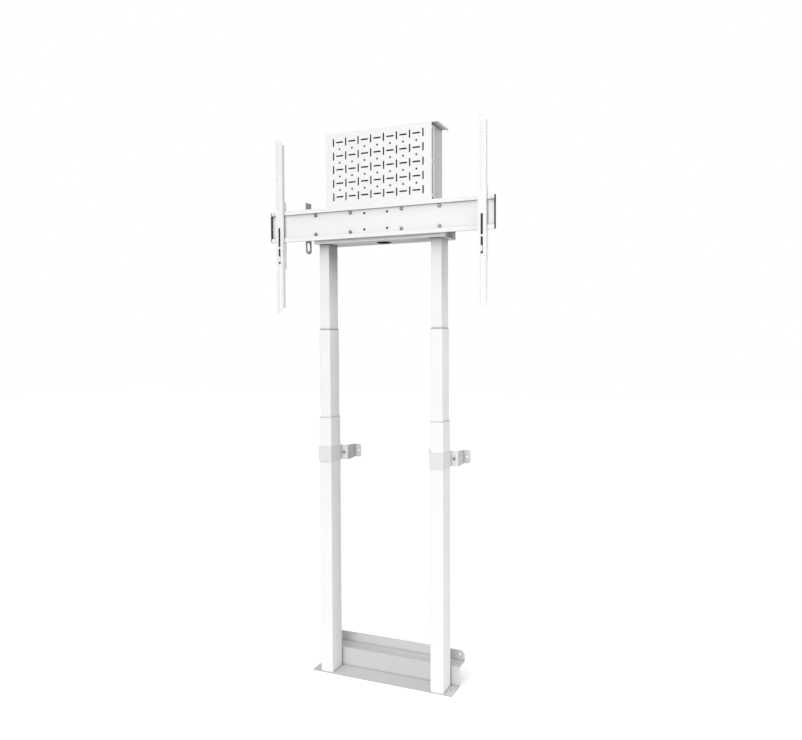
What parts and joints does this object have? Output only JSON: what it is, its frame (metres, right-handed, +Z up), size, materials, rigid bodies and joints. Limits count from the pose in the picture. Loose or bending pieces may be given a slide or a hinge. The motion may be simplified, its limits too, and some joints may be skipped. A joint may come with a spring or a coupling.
{
  "type": "motorized tv stand",
  "caption": "Floor-to-wall television lift stand: two telescopic columns carry a crossbar, a beam with hooked screen arms and a perforated media box.",
  "frame": {"origin": "on the floor, midway between the two columns, on their centre plane", "axes": "X along the screen to the viewer's right, Y from the screen back to the wall, Z up"},
  "size_m": [0.8872, 0.1795, 2.042],
  "materials": {
    "white_coat": "satin",
    "soft_white_coat": "satin",
    "light_grey_coat": "satin",
    "pale_grey_coat": "satin",
    "base_grey_coat": "satin",
    "white_screw": "satin",
    "white_plastic": "matte",
    "grey_plastic": "matte",
    "black_plastic": "matte",
    "zinc_steel": "satin",
    "motor_steel": "satin",
    "contact_brass": "satin"
  },
  "bodies": {
    "base": {"floor_base": "base_grey_coat", "column_bolts": "zinc_steel", "column_nut_plates": "zinc_steel", "clamp_screws": "zinc_steel", "clamp_nuts": "zinc_steel", "lower_tube_left": "white_coat", "lower_tube_right": "white_coat", "lower_bush_left": "white_plastic", "lower_bush_right": "white_plastic", "base_screw_left": "zinc_steel", "base_screw_right": "zinc_steel", "wall_clamp_left": "soft_white_coat", "wall_clamp_right": "soft_white_coat", "wall_bracket_left": "light_grey_coat", "wall_bracket_right": "light_grey_coat"},
    "mid_left": {"mid_tube_left": "white_coat", "mid_slider_left": "grey_plastic", "mid_bush_left": "white_plastic", "mid_plug_left": "grey_plastic", "mid_screw_left": "zinc_steel"},
    "mid_right": {"mid_tube_right": "white_coat", "mid_slider_right": "grey_plastic", "mid_bush_right": "white_plastic", "mid_plug_right": "grey_plastic", "mid_screw_right": "zinc_steel"},
    "head": {"top_blocks": "zinc_steel", "top_screws": "zinc_steel", "crossbar": "soft_white_coat", "crossbar_cover": "white_coat", "cover_screws": "zinc_steel", "cable_grommet": "black_plastic", "tv_beam": "white_coat", "cap_screws": "white_screw", "beam_bolts": "zinc_steel", "beam_nuts": "zinc_steel", "media_box": "light_grey_coat", "media_panel": "white_coat", "panel_screws": "white_screw", "crossbar_screws": "zinc_steel", "cable_guide_plate": "pale_grey_coat", "beam_plugs": "black_plastic", "control_box": "black_plastic", "power_inlet": "black_plastic", "inlet_pins": "contact_brass", "upper_tube_left": "white_coat", "upper_tube_right": "white_coat", "upper_slider_left": "grey_plastic", "upper_slider_right": "grey_plastic", "drive_motor_left": "motor_steel", "drive_motor_right": "motor_steel", "head_screw_left": "zinc_steel", "head_screw_right": "zinc_steel", "beam_end_cap_left": "black_plastic", "beam_end_cap_right": "black_plastic", "head_bracket_left": "white_coat", "head_bracket_right": "white_coat"},
    "arm_left": {"vesa_arm_left": "white_coat", "arm_latch_left": "black_plastic"},
    "arm_right": {"vesa_arm_right": "white_coat", "arm_latch_right": "black_plastic"}
  },
  "joints": [
    {"name": "head_lift", "type": "slide", "parent": "base", "child": "head", "axis": [0, 0, 1], "range_m": [-0.64, 0.01]},
    {"name": "mid_left_lift", "type": "slide", "parent": "base", "child": "mid_left", "axis": [0, 0, 1], "range_m": [-0.32, 0.005]},
    {"name": "mid_right_lift", "type": "slide", "parent": "base", "child": "mid_right", "axis": [0, 0, 1], "range_m": [-0.32, 0.005]},
    {"name": "arm_left_slide", "type": "slide", "parent": "head", "child": "arm_left", "axis": [1, 0, 0], "range_m": [-0.01, 0.3]},
    {"name": "arm_right_slide", "type": "slide", "parent": "head", "child": "arm_right", "axis": [1, 0, 0], "range_m": [-0.3, 0.01]}
  ],
  "couplings": [
    {"joint": "mid_left_lift", "follows": "head_lift", "ratio": 0.5},
    {"joint": "mid_right_lift", "follows": "head_lift", "ratio": 0.5}
  ]
}
